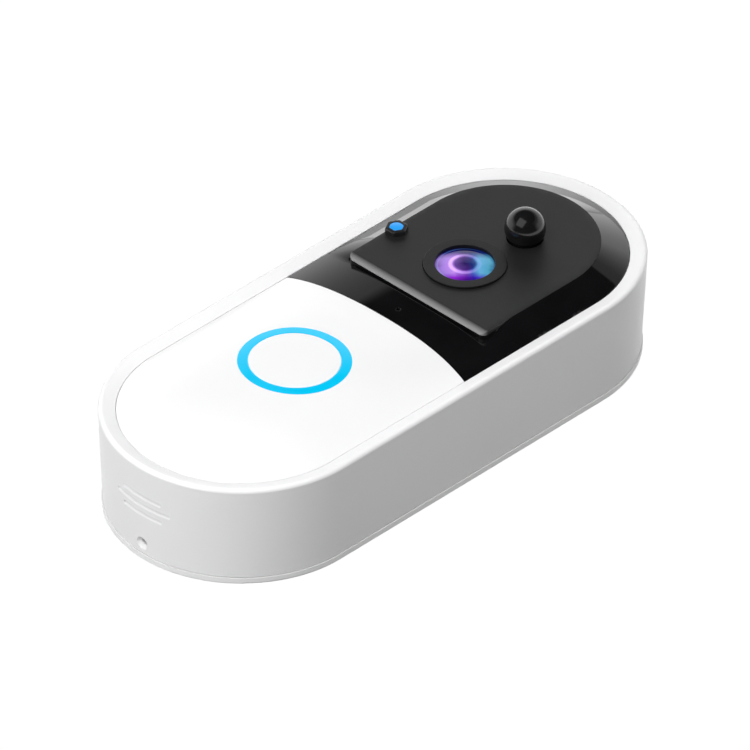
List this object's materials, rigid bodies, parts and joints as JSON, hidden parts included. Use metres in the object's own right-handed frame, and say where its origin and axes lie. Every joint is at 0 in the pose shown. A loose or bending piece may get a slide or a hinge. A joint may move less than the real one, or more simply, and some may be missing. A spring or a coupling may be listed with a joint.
{
  "type": "video doorbell",
  "caption": "Battery video doorbell on a wall plate: stadium-shaped case, push button in a light ring, camera, motion sensor and speaker slots.",
  "frame": {"origin": "centre of the wall plate's back face", "axes": "+Z out of the front, +Y towards the camera end (up on a wall), +X to the right seen from the front"},
  "size_m": [0.06, 0.1388, 0.034],
  "materials": {
    "white_case": "fine satin moulded ABS",
    "white_cover": "smooth white, slightly glossy",
    "plate_white": "satin white ABS",
    "housing_white": "matt light grey ABS",
    "ring_blue": "translucent ring lit cyan blue from behind",
    "lamp_blue": "blue light pipe",
    "window_black": "polished black, infrared clear",
    "plate_dark": "fine matt dark grey",
    "bezel_dark": "fine matt dark grey",
    "pir_black": "polished black",
    "black_plastic": "satin black",
    "lens_glass": "coated glass, violet to cyan reflections",
    "inner_glass": "clear coated glass",
    "silicone": "matt silicone",
    "rubber_black": "matt rubber",
    "board_green": "solder mask on glass fibre board",
    "chip_black": "moulded chip package",
    "led_clear": "clear epoxy over phosphor",
    "flex_amber": "polyimide film",
    "can_tin": "tin plated steel",
    "screw_steel": "zinc plated steel",
    "contact_nickel": "nickel plated spring strip",
    "gold_trace": "gold plated copper",
    "cell_wrap": "shrink film over a steel cell",
    "cone_paper": "coated paper cone",
    "mesh_grey": "woven dust mesh",
    "wire_red": "wire insulation"
  },
  "bodies": {
    "wall_plate": {"wall_plate": "plate_white"},
    "main_unit": {"outer_shell": "white_case", "rear_housing": "housing_white", "housing_seal": "rubber_black", "case_screws": "screw_steel", "lower_cover": "white_cover", "light_ring": "ring_blue", "button_sleeve": "silicone", "tact_switch": "black_plastic", "camera_window": "window_black", "sensor_plate": "plate_dark", "lens_bezel": "bezel_dark", "lens_glass": "lens_glass", "lens_barrel": "black_plastic", "lens_middle": "inner_glass", "lens_rear": "inner_glass", "lens_holder": "black_plastic", "ir_filter": "inner_glass", "image_sensor": "chip_black", "camera_board": "board_green", "camera_flex": "flex_amber", "pir_lens": "pir_black", "pir_sensor": "can_tin", "indicator_bezel": "black_plastic", "indicator_lamp": "lamp_blue", "status_led": "led_clear", "ir_leds": "led_clear", "sensor_board": "board_green", "board_screws": "screw_steel", "main_board": "board_green", "ring_leds": "led_clear", "shield_can": "can_tin", "wifi_module": "can_tin", "antenna": "gold_trace", "microphone": "gold_trace", "mic_boot": "silicone", "speaker_basket": "black_plastic", "speaker_cone": "cone_paper", "speaker_magnet": "can_tin", "speaker_gasket": "rubber_black", "speaker_mesh": "mesh_grey", "speaker_leads": "wire_red", "battery_cell_left": "cell_wrap", "battery_cell_right": "cell_wrap", "contact_springs": "contact_nickel", "contact_plates": "contact_nickel", "io_board_rear": "board_green", "usb_socket": "can_tin", "reset_switch_body": "chip_black"},
    "button": {"button_cap": "white_cover"},
    "switch_key": {"switch_plunger": "screw_steel"},
    "reset_key": {"reset_button": "black_plastic"}
  },
  "joints": [
    {"name": "unit_tilt", "type": "hinge", "parent": "wall_plate", "child": "main_unit", "pos_m": [0, 0.06945, 0.0016], "axis": [-1, 0, 0], "range_deg": [0, 20]},
    {"name": "button_press", "type": "slide", "parent": "main_unit", "child": "button", "axis": [0, 0, -1], "range_m": [0, 0.0004], "stiffness_N_per_m": 4000, "springref_m": -0.0004, "deforming": ["button_sleeve"]},
    {"name": "switch_travel", "type": "slide", "parent": "main_unit", "child": "switch_key", "axis": [0, 0, -1], "range_m": [0, 0.0004]},
    {"name": "reset_press", "type": "slide", "parent": "main_unit", "child": "reset_key", "axis": [0, 0, 1], "range_m": [0, 0.0003], "stiffness_N_per_m": 3000, "springref_m": -0.0004}
  ],
  "couplings": [
    {"joint": "switch_travel", "follows": "button_press", "ratio": 1}
  ]
}
